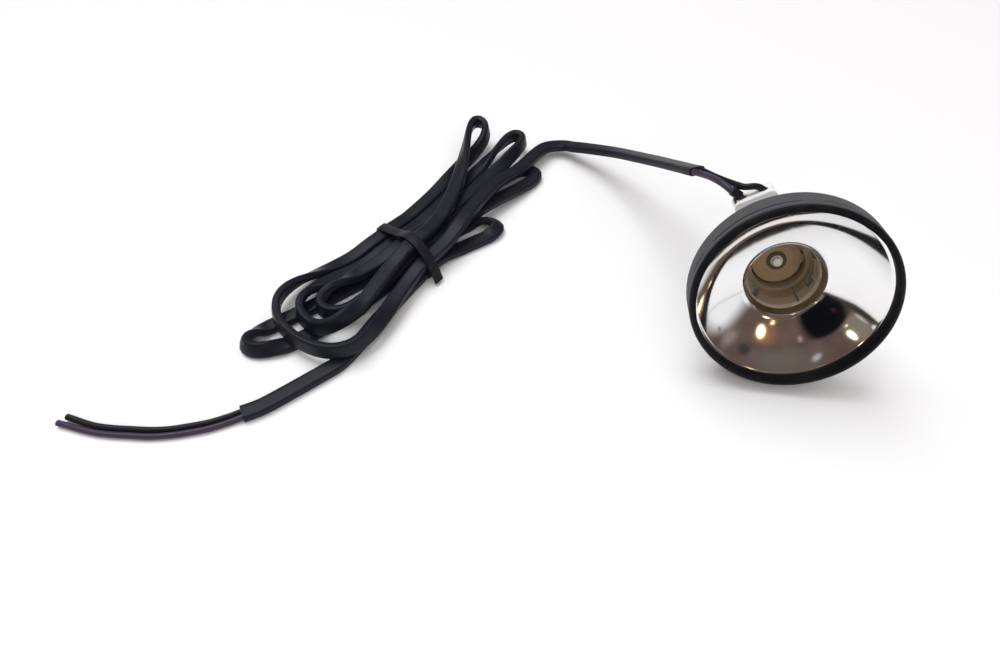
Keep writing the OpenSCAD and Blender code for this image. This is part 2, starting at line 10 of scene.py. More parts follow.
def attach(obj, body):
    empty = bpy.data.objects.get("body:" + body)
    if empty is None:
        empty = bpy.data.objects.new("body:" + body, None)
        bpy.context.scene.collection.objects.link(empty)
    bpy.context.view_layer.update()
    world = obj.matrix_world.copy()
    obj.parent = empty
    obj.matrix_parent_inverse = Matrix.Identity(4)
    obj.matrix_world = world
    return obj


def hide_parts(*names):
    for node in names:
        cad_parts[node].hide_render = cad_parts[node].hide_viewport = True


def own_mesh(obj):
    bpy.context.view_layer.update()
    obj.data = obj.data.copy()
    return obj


bl_info = {
    "name": "Turn Signal Reflector Insert",
    "version": (1, 0, 0),
    "blender": (4, 5, 0),
    "location": "3D View > Sidebar > Lamp",
    "description": "Dresses the reflector, its rubber ring, the bulb holder and the bundled lead",
    "category": "Object",
}

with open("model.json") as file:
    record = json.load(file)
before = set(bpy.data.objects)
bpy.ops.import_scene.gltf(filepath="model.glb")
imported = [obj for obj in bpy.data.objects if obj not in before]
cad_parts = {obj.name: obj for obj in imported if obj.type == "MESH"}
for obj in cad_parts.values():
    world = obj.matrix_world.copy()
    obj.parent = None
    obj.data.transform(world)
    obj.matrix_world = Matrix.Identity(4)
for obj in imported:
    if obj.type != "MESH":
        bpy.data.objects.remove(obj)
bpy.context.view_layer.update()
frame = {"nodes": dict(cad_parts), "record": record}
MM = 0.001

# places taken from the frame

RING = next(m for m in frame["record"]["mounts"] if m["name"] == "ring_outside")
RING_DEPTH = 1.575 * MM                     # the mount's place behind the seat plane
RING_R = RING["dims"]["r_mm"] * MM
FACE = Vector(RING["axis"]).normalized()    # straight out of the lamp's face
SEAT = Vector(RING["pos_m"]) + FACE * RING_DEPTH
ACROSS = Vector((1, 0, 0))
UPRIGHT = FACE.cross(ACROSS)
LAMP = Matrix((
    (ACROSS.x, UPRIGHT.x, FACE.x, SEAT.x),
    (ACROSS.y, UPRIGHT.y, FACE.y, SEAT.y),
    (ACROSS.z, UPRIGHT.z, FACE.z, SEAT.z),
    (0, 0, 0, 1)))

# the lead's places in the part's own frame, in millimetres, as in the CAD source
LEAD_ROUTE = [(-23.8, 17.8, 34), (-25.3, 21.1, 32), (-27.4, 26.1, 29), (-32.1, 36.2, 23),
              (-37.5, 45.5, 17.5), (-43.5, 54.1, 12.5), (-49.5, 60.1, 8.9), (-55.3, 64.6, 6.1)]
TAIL_ROUTE = [(-119.4, -43.3, 1.2), (-122.5, -46.7, 1.2), (-127.5, -52, 1.2), (-130, -54.3, 1.2),
              (-133.5, -56.7, 1.2)]
BLACK_ROUTE = [(-9.3, 5.6, 39.4), (-11, 5.5, 39.7), (-13.4, 5.8, 39), (-15.8, 8.2, 38),
               (-17.9, 11.2, 36.7), (-20, 14.3, 35.5), (-22.7, 18.5, 34)]
PURPLE_ROUTE = [(-13.9, 4.7, 36.9), (-16.2, 4.9, 38), (-18.6, 7.5, 38.2), (-20.7, 11, 37.1),
                (-22.5, 14.3, 35.5), (-24.8, 17.3, 34)]
BLACK_TAIL = [(-134, -56, 1.1), (-136.5, -57.6, 0.9), (-140.7, -60.1, 0.9), (-145.1, -61.9, 0.9),
              (-149.6, -63.5, 0.9), (-154.3, -64.5, 0.9), (-159.4, -65, 0.9), (-164.4, -65.4, 0.9),
              (-169.8, -65.3, 0.9), (-177.3, -63.9, 0.9)]
PURPLE_TAIL = [(-133, -57.4, 1.1), (-135.5, -59.1, 0.9), (-139.8, -61.7, 0.9), (-144.4, -63.7, 0.9),
               (-149.1, -65.3, 0.9), (-154, -66.4, 0.9), (-159.2, -66.9, 0.9), (-164.4, -67.3, 0.9),
               (-169.9, -67.2, 0.9), (-178.7, -66, 0.9)]

# the lead's sizes in millimetres, as in the CAD source
SHEATH_WIDTH = 4.6
SHEATH_THICKNESS = 2.4
STRAP_GAP = 0.25            # between the strap and the strands

# the hank: its waist and the way it lies, then where its strands pass the waist
WAIST = np.array((-106.2, 8.6, 0.0))
HANK_WAY = np.array((0.48929, 0.87212, 0.0))
STRAND_ACROSS = (-10.4, -5.2, 0, -5.2, 0, 5.2, -4.6, 10.4, -10.4)
STRAND_LAYER = (0, 0, 0, 1, 1, 0, 2, 0, 1)
# each loop's reach, place across, half width, swing and far layer, the shares of its length where
# it starts and ends its way back to the waist's layer, and how far the flat sheath turns on edge,
# with the shares of the reach where that begins and ends
FAR_LOOPS = ((27, -13.5, -3.6, 0, 0, (0.6, 0.88), (40, 0.75, 0.98)),
             (57, -6.5, 3.6, 0, 0, (0.6, 0.88), (0, 0, 1)),
             (67, 6.2, -2.8, 0, 1, (0.6, 0.88), (80, 0.62, 0.95)),
             (62, 19.5, 4.4, 4.5, 2, (0.5, 0.72), (78, 0.4, 0.9)))
NEAR_LOOPS = ((55.5, 7.5, -4.2, 0, 0, (0.6, 0.88), (65, 0.84, 0.97)),
              (34.5, -1.0, -4.8, 0, 1, (0.6, 0.88), (80, 0.45, 0.9)),
              (40.5, -1.6, 8.2, 0, 1, (0.5, 0.7), (80, 0.6, 0.95)),
              (46.5, -2.8, 13.2, 0, 1, (0.6, 0.88), (80, 0.3, 0.85)))
# the sheath's places along the hank, across it and up, between the waist and its two ways out
TAIL_LEG = [(-51.7, -13.9, 1.2), (-48.3, -14.7, 1.2), (-43, -15.6, 1.2), (-35, -14.8, 1.2),
            (-25, -13, 1.2), (-13, -11.2, 1.2)]
LEAD_LEG = [(0, -10.4, 5.2), (8, -10.3, 5.9), (15, -9.4, 7.3), (24, -7.4, 7.3), (33, -6, 7.3),
            (41, -5.2, 6.6), (49, -4.9, 4.8), (56, -4.6, 4.25), (63, -3.8, 3.9), (69.5, -4, 3.3),
            (73.86, -8.2, 3.3), (73.8, -12.6, 4.7)]
LAYER_RISE = 3.05           # from one layer of strands to the next
STRAP_LIFT = 0.95           # how far the strands rise over the strap at the waist
STRAP_REACH = (4, 12)       # how far from the waist that rise begins and ends to fade
FAR_CLIMB = (0.12, 0.4)     # shares of a far loop where it starts and ends its way to its far layer
NEAR_CLIMB = (0.1, 0.33)    # the same for a near loop
SINKING = 0.6               # how far a strand on edge sinks between the strands under it
LOOP_ROUNDNESS = 6.76       # how round a loop's end is for its width
LOOP_WIDENING = 1.3         # a loop's widest place against its named half width
TURNED_CORNERS = 1.27       # how far the flat sheath's corners reach where it is turned
EDGE_ROUNDNESS = 0.42       # how round its edges are; at 1 it is an ellipse
LOOP_STEPS = 48             # places worked out on a loop
ROUTE_STEPS = 6             # places worked out between two points of the sheath's route
WIRE_STEPS = 8              # the same for a wire
SHEATH_SPACING = 1.2        # from one place on the made sheath to the next
WIRE_SPACING = 0.5          # the same for a wire

# the strap: half its run across the hank, its lowest height, its thickness, how far it slants along
# the hank for each millimetre across, the size of its bends, and its section's places from its inner
# to its outer face and along its width
STRAP_HALF = 12.95
STRAP_LOW = 0.75
STRAP_THICKNESS = 0.62
STRAP_SLANT = 0.19
STRAP_BEND = 1.6
BEND_SHARE = 0.4            # most of a side that a bend takes
BEND_STEPS = 7              # places worked out on a bend
STRAP_STEPS = 5             # places worked out between two points of its loose end
STRAP_SECTION = ((0, -0.46), (0, 0.46), (0.3, 0.5), (0.8, 0.5), (1, 0.42), (1, -0.42), (0.8, -0.5),
                 (0.3, -0.5))

FLANGE = 0.8 * MM           # thickness of the bowl's flange, which the ring grips

# the camera at the photograph's view: its place in metres, its turn in degrees, its lens in millimetres
CAMERA_PLACE = (-0.052941, -0.150363, 0.153425)
CAMERA_TURN = (41, 0, 8.534)
LENS, SENSOR = 25.92, 36
CAMERA_SEES = (0.005, 50)   # nearest and farthest, in metres

# the stage in metres: half the table top, then each light's name, place, size and whether surfaces
# mirror it, and the place that the lights face
TABLE_HALF = 3.0
LIGHTS = (("key", (-1.15, 0.95, 3.0), 2.4, True),
          ("dome", (0, 0, 2.2), 5.0, False),
          ("fill", (0.08, -0.55, 0.42), 0.35, False))
LIT_PLACE = Vector((-0.03, 0, 0))

# what the bowl mirrors of the room: direction round and up, half width and half height (degrees),
# softness of the edge, colour and strength
ROOM_SHAPES = (
    ((-75, 66), (50, 22), 0.9, (0.14, 0.12, 0.105), 1.0),
    ((-28, 0), (30, 25), 0.55, (0.90, 0.91, 0.92), 1.0),
    ((-25, 27), (18, 8), 0.8, (0.26, 0.22, 0.20), 1.0),
    ((-18, 16), (3, 3), 0.8, (0.25, 0.16, 0.12), 1.0),
    ((-30, 43), (11, 8), 0.7, (0.05, 0.044, 0.038), 1.0),
    ((-63, 38), (14, 12), 1.0, (0.30, 0.14, 0.07), 1.0),
    ((-142, 14), (22, 13), 0.5, (0.22, 0.19, 0.14), 1.0),
    ((-109, 18), (20, 24), 0.35, (0.004, 0.005, 0.007), 1.0),
    ((-136, 1), (26, 4.5), 0.4, (0.035, 0.027, 0.022), 1.0),
    ((-140, 6.5), (12, 1.5), 0.6, (0.5, 0.49, 0.47), 1.0),
    ((-155, 5), (3.5, 2.5), 0.5, (0.85, 0.88, 0.9), 1.0),
    ((-133, 55), (4.5, 7), 0.8, (0.42, 0.42, 0.44), 1.0),
    ((-97, 40), (3, 3), 0.9, (0.42, 0.29, 0.25), 1.0),
    ((-115, 11), (1.4, 1.4), 0.8, (0.2, 0.025, 0.025), 1.0),
    ((-59, 34), (4.5, 5.5), 0.9, (1.0, 0.78, 0.42), 7.0),
    ((-70, 30.5), (2.6, 1.4), 0.9, (1.0, 0.72, 0.38), 4.0),
    ((-144, 22), (8, 3.2), 0.8, (1.0, 0.80, 0.52), 6.0),
    ((-132, 18), (1.6, 1.6), 0.8, (1.0, 0.75, 0.6), 2.5),
)


# what a user would change

class LampSettings(bpy.types.PropertyGroup):
    """Sizes and colours of the lamp insert"""
    mouth_radius: bpy.props.FloatProperty(
        name="Mouth radius", description="Inner radius of the bowl's mouth",
        default=22.9 * MM, min=0.015, max=0.03, unit="LENGTH")
    focal_length: bpy.props.FloatProperty(
        name="Focal length", description="Focal length of the bowl's parabola",
        default=15.4 * MM, min=0.01, max=0.02, unit="LENGTH")
    throat_radius: bpy.props.FloatProperty(
        name="Throat radius", description="Inner radius of the throat behind the bowl",
        default=9.3 * MM, min=0.008, max=0.01, unit="LENGTH")
    ring_front: bpy.props.FloatProperty(
        name="Ring front", description="How far the bead stands in front of the seat",
        default=3.6 * MM, min=0.002, max=0.006, unit="LENGTH")
    ring_rear: bpy.props.FloatProperty(
        name="Ring rear", description="How far the ring reaches behind the seat",
        default=5.0 * MM, min=0.003, max=0.008, unit="LENGTH")
    rubber: bpy.props.FloatVectorProperty(
        name="Rubber", description="Colour of the ring's rubber", subtype="COLOR",
        size=3, min=0, max=1, default=(0.0040, 0.0043, 0.0060))
    mirror: bpy.props.FloatVectorProperty(
        name="Mirror", description="Colour of the metallised bowl", subtype="COLOR",
        size=3, min=0, max=1, default=(0.92, 0.92, 0.92))
    plating: bpy.props.FloatVectorProperty(
        name="Plating", description="Colour of the bulb sleeve's dull plating", subtype="COLOR",
        size=3, min=0, max=1, default=(0.45, 0.35, 0.235))
    laminate: bpy.props.FloatVectorProperty(
        name="Laminate", description="Colour of the contact's disc", subtype="COLOR",
        size=3, min=0, max=1, default=(0.50, 0.345, 0.20))
    nylon: bpy.props.FloatVectorProperty(
        name="Nylon", description="Colour of the moulded holder", subtype="COLOR",
        size=3, min=0, max=1, default=(0.95, 0.95, 0.935))


class LeadSettings(bpy.types.PropertyGroup):
    """Sizes and colours of the lead"""
    sheath_width: bpy.props.FloatProperty(
        name="Sheath width", description="Width of the flat sheath",
        default=SHEATH_WIDTH * MM, min=0.003, max=0.007, unit="LENGTH")
    sheath_thickness: bpy.props.FloatProperty(
        name="Sheath thickness", description="Thickness of the flat sheath",
        default=SHEATH_THICKNESS * MM, min=0.0015, max=0.004, unit="LENGTH")
    wire_diameter: bpy.props.FloatProperty(
        name="Wire diameter", description="Diameter of each insulated wire",
        default=1.7 * MM, min=0.001, max=0.003, unit="LENGTH")
    strap_width: bpy.props.FloatProperty(
        name="Strap width", description="Width of the band round the hank",
        default=3.3 * MM, min=0.001, max=0.006, unit="LENGTH")
    sheath: bpy.props.FloatVectorProperty(
        name="Sheath", description="Colour of the sheath", subtype="COLOR",
        size=3, min=0, max=1, default=(0.0090, 0.0104, 0.0172))
    purple: bpy.props.FloatVectorProperty(
        name="Purple", description="Colour of the live wire", subtype="COLOR",
        size=3, min=0, max=1, default=(0.056, 0.038, 0.074))


class StageSettings(bpy.types.PropertyGroup):
    """Floor and lights"""
    floor: bpy.props.FloatVectorProperty(
        name="Floor", description="Colour of the table top", subtype="COLOR",
        size=3, min=0, max=1, default=(0.925, 0.93, 0.935))
    key_power: bpy.props.FloatProperty(
        name="Key light", description="Power of the large soft light", default=70.0, min=0,
        unit="POWER")
    dome_power: bpy.props.FloatProperty(
        name="Overhead light", description="Power of the broad light, which no surface mirrors",
        default=58.0, min=0, unit="POWER")
    fill_power: bpy.props.FloatProperty(
        name="Fill light", description="Power of the soft light in front, which no surface mirrors",
        default=0.9, min=0, unit="POWER")
    room: bpy.props.FloatVectorProperty(
        name="Room", description="Colour of the dim room that the bowl reflects", subtype="COLOR",
        size=3, min=0, max=1, default=(0.125, 0.082, 0.070))
    light: bpy.props.FloatVectorProperty(
        name="Light", description="Colour of the lights", subtype="COLOR",
        size=3, min=0, max=1, default=(0.96, 0.98, 1.0))
    backdrop: bpy.props.FloatVectorProperty(
        name="Backdrop", description="Colour seen beyond the table top", subtype="COLOR",
        size=3, min=0, max=1, default=(0.92, 0.92, 0.92))


# shapes

def unit(v):
    """The same direction at length one, for one vector or a row of them."""
    v = np.asarray(v, float)
    return v / np.linalg.norm(v, axis=-1, keepdims=True)


def smooth(a, b, t):
    """Eases from 0 at a to 1 at b."""
    x = min(max((t - a) / (b - a), 0.0), 1.0)
    return x * x * (3 - 2 * x)


def through(points, steps):
    """A smooth run through places, as in the CAD source."""
    places = [np.array(point, float) for point in points]
    places = [2 * places[0] - places[1], *places, 2 * places[-1] - places[-2]]
    run = []
    for a, b, c, d in zip(places, places[1:], places[2:], places[3:]):
        for k in range(steps):
            t = k / steps
            run.append(0.5 * (2 * b + (c - a) * t + (2 * a - 5 * b + 4 * c - d) * t * t
                              + (3 * b - 3 * c + d - a) * t ** 3))
    return [*run, places[-2]]


def evenly(points, spacing):
    """The same line with its points a fixed way apart, and what else they carry."""
    points = np.array(points)
    run = np.concatenate([[0], np.cumsum(np.linalg.norm(np.diff(points[:, :3], axis=0), axis=1))])
    at = np.linspace(0, run[-1], max(2, round(run[-1] / spacing) + 1))
    return np.stack([np.interp(at, run, column) for column in points.T], axis=1)


def layer_z(layer):
    """Height of a strand's middle in a layer of the hank."""
    return TAIL_ROUTE[0][2] + LAYER_RISE * layer


def half_height(roll):
    """Half the height of the flat sheath, in millimetres, when it is turned by an angle."""
    on_edge, flat = SHEATH_WIDTH / 2 * math.sin(roll), SHEATH_THICKNESS / 2 * math.cos(roll)
    return (on_edge ** TURNED_CORNERS + flat ** TURNED_CORNERS) ** (1 / TURNED_CORNERS)


def hank_loop(away, loop, across_ends, up_ends, t):
    """A place on one loop for t from 0 to 1, out from the waist and back, and the sheath's turn."""
    reach, across, half, swing, far_layer, way_back, (turned, begins, ends) = loop
    out = math.sin(math.pi * t) ** 2
    full = max(0.0, 1 - LOOP_ROUNDNESS * abs(half) / reach)
    turn = math.sin(2 * math.pi * t)
    turn /= math.sqrt(1 - full + full * turn * turn)
    start, end = across_ends
    sideways = ((start + (end - start) * smooth(0, 1, t)) * (1 - out) + across * out
                + LOOP_WIDENING * half * turn * math.sin(math.pi * t))
    if t > 0.5:
        sideways += swing * math.sin(2 * math.pi * t) ** 2
    along = away * reach * math.sin(math.pi * t)
    far = layer_z(far_layer)
    start, end = up_ends
    if t < 0.5:
        up = start + (far - start) * smooth(*(FAR_CLIMB if away > 0 else NEAR_CLIMB), t)
    else:
        up = far + (end - far) * smooth(*way_back, t)
    roll = math.radians(turned) * smooth(begins, ends, abs(along) / reach)
    up += STRAP_LIFT * (1 - smooth(*STRAP_REACH, abs(along)))
    room_below = SINKING * min(1, max(0, up - layer_z(0)) / LAYER_RISE)
    up += max(0, half_height(roll) - half_height(0) - room_below)
    return along, sideways, up, -math.copysign(roll, away * half)


def on_surface(place):
    """A place given along the hank, across it and up, in the part's own frame."""
    along, across, up = place[:3]
    sideways = np.array((-HANK_WAY[1], HANK_WAY[0], 0))
    return WAIST + along * HANK_WAY + across * sideways + (0, 0, up)


def sheath_path():
    """The sheath from the lamp to its cut end, in metres, and how far it is turned at each point."""
    heights = [layer_z(layer) for layer in STRAND_LAYER]
    loops = []
    for k in range(len(FAR_LOOPS) + len(NEAR_LOOPS)):
        away, kind = (1, FAR_LOOPS) if k % 2 == 0 else (-1, NEAR_LOOPS)
        loops += [hank_loop(away, kind[k // 2], STRAND_ACROSS[k:k + 2], heights[k:k + 2], i / LOOP_STEPS)
                  for i in range(LOOP_STEPS)]
    lead = [on_surface(p) for p in through(LEAD_LEG, ROUTE_STEPS)]
    tail = [on_surface(p) for p in through([*TAIL_LEG, loops[0][:3]], ROUTE_STEPS)[:-1]]
    first = through([*LEAD_ROUTE, lead[-1]], ROUTE_STEPS)[:-1]
    last = through(TAIL_ROUTE, ROUTE_STEPS)[1:]
    whole = [*((*p, 0) for p in [*first, *lead[::-1][:-1]]),
             *((*on_surface(p), p[3]) for p in loops[::-1]),
             *((*p, 0) for p in [*tail[::-1], *last])]
    places = evenly(whole, SHEATH_SPACING)
    return places[:, :3] * MM, places[:, 3]


def new_piece(name, verts, faces, material, sharp=None):
    """A mesh object from points and faces, shaded smooth, with edges over an angle kept sharp."""
    mesh = bpy.data.meshes.new(name)
    mesh.from_pydata([tuple(v) for v in verts], [], faces)
    mesh.validate()
    shape = bmesh.new()
    shape.from_mesh(mesh)
    bmesh.ops.recalc_face_normals(shape, faces=shape.faces)
    shape.to_mesh(mesh)
    shape.free()
    mesh.shade_smooth()
    if sharp is not None:
        mesh.set_sharp_from_angle(angle=math.radians(sharp))
    mesh.materials.append(material)
    piece = bpy.data.objects.new(name, mesh)
    bpy.context.scene.collection.objects.link(piece)
    return piece


def skin(rings, sides, closed=False, first=0):
    """Faces over rings of points: a closed round, or a tube with a face at each end."""
    def corner(ring, side):
        """The number of a point."""
        return first + ring % rings * sides + side % sides

    faces = [(corner(i, k), corner(i, k + 1), corner(i + 1, k + 1), corner(i + 1, k))
             for i in range(rings if closed else rings - 1) for k in range(sides)]
    if not closed:
        faces += [tuple(corner(0, k) for k in reversed(range(sides))),
                  tuple(corner(rings - 1, k) for k in range(sides))]
    return faces


def swept(name, path, section, material, roll=0.0):
    """A tube with closed ends: a section of (sideways, upward) places swept along a path."""
    path = np.array(path)
    along = unit(np.gradient(path, axis=0))
    level = unit(np.cross(along, (0, 0, 1)))
    roll = np.resize(roll, (len(path), 1))
    side = level * np.cos(roll) + np.cross(level, along) * np.sin(roll)
    up = np.cross(side, along)
    verts = [path[i] + a * side[i] + b * up[i] for i in range(len(path)) for a, b in section]
    return new_piece(name, verts, skin(len(path), len(section)), material, sharp=50)


def oval(width, thickness, roundness, sides):
    """A section's places: an ellipse at a roundness of 1, and fuller at its corners below that."""
    def fuller(x):
        """A sine or cosine brought nearer to 1."""
        return math.copysign(abs(x) ** roundness, x)

    return [(width / 2 * fuller(math.cos(a)), thickness / 2 * fuller(math.sin(a)))
            for a in (2 * math.pi * (k + 0.5) / sides for k in range(sides))]


def revolved(name, profile, material, turns, sharp, shape=None):
    """A closed profile of (radius, height) places turned about the lamp's axis."""
    verts = []
    for k in range(turns):
        a = 2 * math.pi * k / turns
        for r, z in profile:
            if shape:
                r, z = shape(r, z, a)
            verts.append(LAMP @ Vector((r * math.cos(a), r * math.sin(a), z)))
    return new_piece(name, verts, skin(turns, len(profile), closed=True), material, sharp)


def arc(centre, radius, start, end, steps):
    """Places on an arc, from one angle to another in degrees."""
    return [(centre[0] + radius * math.cos(math.radians(start + (end - start) * i / steps)),
             centre[1] + radius * math.sin(math.radians(start + (end - start) * i / steps)))
            for i in range(steps + 1)]


# materials

GRAIN_DEPTH = 0.02 * MM     # height of the grain at full bump
COARSE_SHARE = 0.13         # scale of the broad patches, as a share of the fine grain's
DUST_ROUGHNESS = 0.4        # roughness that full dust adds
SCRATCH_SCALE = 500.0       # scale of the noise that the scratches are drawn out from


def node_group(name, inputs, outputs, build):
    """A shared shader group, made once."""
    group = bpy.data.node_groups.get(name)
    if group is None:
        group = bpy.data.node_groups.new(name, "ShaderNodeTree")
        for label, kind, value in inputs:
            socket = group.interface.new_socket(label, in_out="INPUT", socket_type=kind)
            socket.default_value = value
        for label, kind in outputs:
            group.interface.new_socket(label, in_out="OUTPUT", socket_type=kind)
        build(group, group.nodes.new("NodeGroupInput"), group.nodes.new("NodeGroupOutput"))
    return group


def maths(tree, how, a, b=None, clamp=False):
    """A Math node, from numbers or sockets, and its result."""
    node = tree.nodes.new("ShaderNodeMath")
    node.operation = how
    node.use_clamp = clamp
    for socket, value in zip(node.inputs, (a, b)):
        if value is None:
            continue
        if isinstance(value, (int, float)):
            socket.default_value = value
        else:
            tree.links.new(value, socket)
    return node.outputs[0]


def above(tree, value, level, gain):
    """What a value has over a level, times a gain, from 0 to 1."""
    return maths(tree, "MULTIPLY", maths(tree, "SUBTRACT", value, level), gain, clamp=True)


def noise(tree, scale, detail, vector=None):
    """A noise texture, in the object's own space where no vector is given."""
    node = tree.nodes.new("ShaderNodeTexNoise")
    node.inputs["Detail"].default_value = detail
    if vector is None:
        vector = tree.nodes.new("ShaderNodeTexCoord").outputs["Object"]
    tree.links.new(vector, node.inputs["Vector"])
    if isinstance(scale, (int, float)):
        node.inputs["Scale"].default_value = scale
    else:
        tree.links.new(scale, node.inputs["Scale"])
    return node.outputs["Fac"]


def build_grain(group, given, result):
    """Fine unevenness, in two sizes."""
    fine = noise(group, given.outputs["Scale"], 6)
    coarse = noise(group, maths(group, "MULTIPLY", given.outputs["Scale"], COARSE_SHARE), 3)
    group.links.new(maths(group, "ADD", fine, coarse), result.inputs["Height"])
    group.links.new(coarse, result.inputs["Patches"])


def grain_group():
    """Grain: a height for bump and a mask of broad patches."""
    return node_group("Grain", [("Scale", "NodeSocketFloat", 3000.0)],
                      [("Height", "NodeSocketFloat"), ("Patches", "NodeSocketFloat")], build_grain)


def build_dust(group, given, result):
    """Dust that lies on what faces up, broken by patches and specks."""
    normal = group.nodes.new("ShaderNodeNewGeometry").outputs["Normal"]
    parts = group.nodes.new("ShaderNodeSeparateXYZ")
    group.links.new(normal, parts.inputs[0])
    facing = above(group, parts.outputs["Z"], -0.2, 0.8)
    patches = maths(group, "MULTIPLY", above(group, noise(group, 260.0, 5), 0.42, 3.0), facing)
    specks = maths(group, "MULTIPLY", above(group, noise(group, 4200.0, 2), 0.64, 9.0), 0.6)
    both = maths(group, "ADD", patches, specks)
    lying = maths(group, "MULTIPLY", both, given.outputs["Amount"], clamp=True)
    group.links.new(lying, result.inputs["Mask"])


def dust_group():
    """Dust: a mask of where it lies."""
    return node_group("Dust", [("Amount", "NodeSocketFloat", 0.3)],
                      [("Mask", "NodeSocketFloat")], build_dust)


def build_scratches(group, given, result):
    """Fine hairline scratches that run round the lamp's axis and across it."""
    coord = group.nodes.new("ShaderNodeTexCoord").outputs["Object"]
    total = None
    for turn, stretch in ((0.4, (1, 14, 1)), (1.9, (16, 1, 1))):
        place = group.nodes.new("ShaderNodeMapping")
        place.inputs["Rotation"].default_value = (turn, 0.3 * turn, turn)
        place.inputs["Scale"].default_value = stretch
        group.links.new(coord, place.inputs["Vector"])
        lines = above(group, noise(group, SCRATCH_SCALE, 2, place.outputs[0]), 0.66, 8.0)
        total = lines if total is None else maths(group, "MAXIMUM", total, lines)
    group.links.new(maths(group, "MULTIPLY", total, given.outputs["Amount"]), result.inputs["Mask"])


def scratch_group():
    """Scratches: a mask of thin lines."""
    return node_group("Scratches", [("Amount", "NodeSocketFloat", 0.1)],
                      [("Mask", "NodeSocketFloat")], build_scratches)


def build_patch(group, given, result):
    """A soft oval round a direction."""
    reach = []
    for side in ("Right", "Up", "Forward"):
        dot = group.nodes.new("ShaderNodeVectorMath")
        dot.operation = "DOT_PRODUCT"
        group.links.new(given.outputs["Direction"], dot.inputs[0])
        group.links.new(given.outputs[side], dot.inputs[1])
        reach.append(dot.outputs["Value"])
    away = maths(group, "SQRT", maths(group, "ADD", maths(group, "MULTIPLY", reach[0], reach[0]),
                                      maths(group, "MULTIPLY", reach[1], reach[1])))
    inside = maths(group, "DIVIDE", maths(group, "SUBTRACT", 1.0, away), given.outputs["Softness"],
                   clamp=True)
    ahead = maths(group, "GREATER_THAN", reach[2], 0.0)
    eased = maths(group, "MULTIPLY", maths(group, "MULTIPLY", inside, inside),
                  maths(group, "SUBTRACT", 3.0, maths(group, "MULTIPLY", inside, 2.0)))
    group.links.new(maths(group, "MULTIPLY", eased, ahead, clamp=True), result.inputs["Mask"])


def patch_group():
    """Patch: a mask of a soft oval in the room, round a direction."""
    return node_group("Patch", [("Direction", "NodeSocketVector", (0, 0, 0)),
                                ("Forward", "NodeSocketVector", (0, 0, 1)),
                                ("Right", "NodeSocketVector", (1, 0, 0)),
                                ("Up", "NodeSocketVector", (0, 1, 0)),
                                ("Softness", "NodeSocketFloat", 0.5)],
                      [("Mask", "NodeSocketFloat")], build_patch)


def build_radius(group, given, result):
    """Distance from the lamp's axis."""
    coord = group.nodes.new("ShaderNodeTexCoord").outputs["Object"]
    from_seat = group.nodes.new("ShaderNodeVectorMath")
    from_seat.operation = "SUBTRACT"
    group.links.new(coord, from_seat.inputs[0])
    from_seat.inputs[1].default_value = SEAT
    across = group.nodes.new("ShaderNodeVectorMath")
    across.operation = "CROSS_PRODUCT"
    group.links.new(from_seat.outputs[0], across.inputs[0])
    across.inputs[1].default_value = FACE
    length = group.nodes.new("ShaderNodeVectorMath")
    length.operation = "LENGTH"
    group.links.new(across.outputs[0], length.inputs[0])
    past = maths(group, "SUBTRACT", length.outputs["Value"], given.outputs["Radius"])
    outside = maths(group, "DIVIDE", past, given.outputs["Edge"], clamp=True)
    group.links.new(outside, result.inputs["Outside"])


def radius_group():
    """Radius: a mask of what lies farther from the lamp's axis than a radius."""
    return node_group("Radius", [("Radius", "NodeSocketFloat", 1.0 * MM),
                                 ("Edge", "NodeSocketFloat", 0.1 * MM)],
                      [("Outside", "NodeSocketFloat")], build_radius)


def use(tree, group, **values):
    """Places a shared group in a material, with its own values."""
    node = tree.nodes.new("ShaderNodeGroup")
    node.node_tree = group
    for label, value in values.items():
        node.inputs[label].default_value = value
    return node


def mixed(tree, mask, low, high):
    """Blends two colours, or a colour and a socket, by a mask."""
    node = tree.nodes.new("ShaderNodeMix")
    node.data_type = "RGBA"
    tree.links.new(mask, node.inputs["Factor"])
    for label, value in (("A", low), ("B", high)):
        socket = next(s for s in node.inputs if s.name == label and s.type == "RGBA")
        if isinstance(value, bpy.types.NodeSocket):
            tree.links.new(value, socket)
        else:
            socket.default_value = (*value, 1)
    return next(s for s in node.outputs if s.type == "RGBA")


def ranged(tree, value, low, high):
    """Takes a mask from 0..1 to a range of numbers."""
    return maths(tree, "ADD", maths(tree, "MULTIPLY", value, high - low), low)


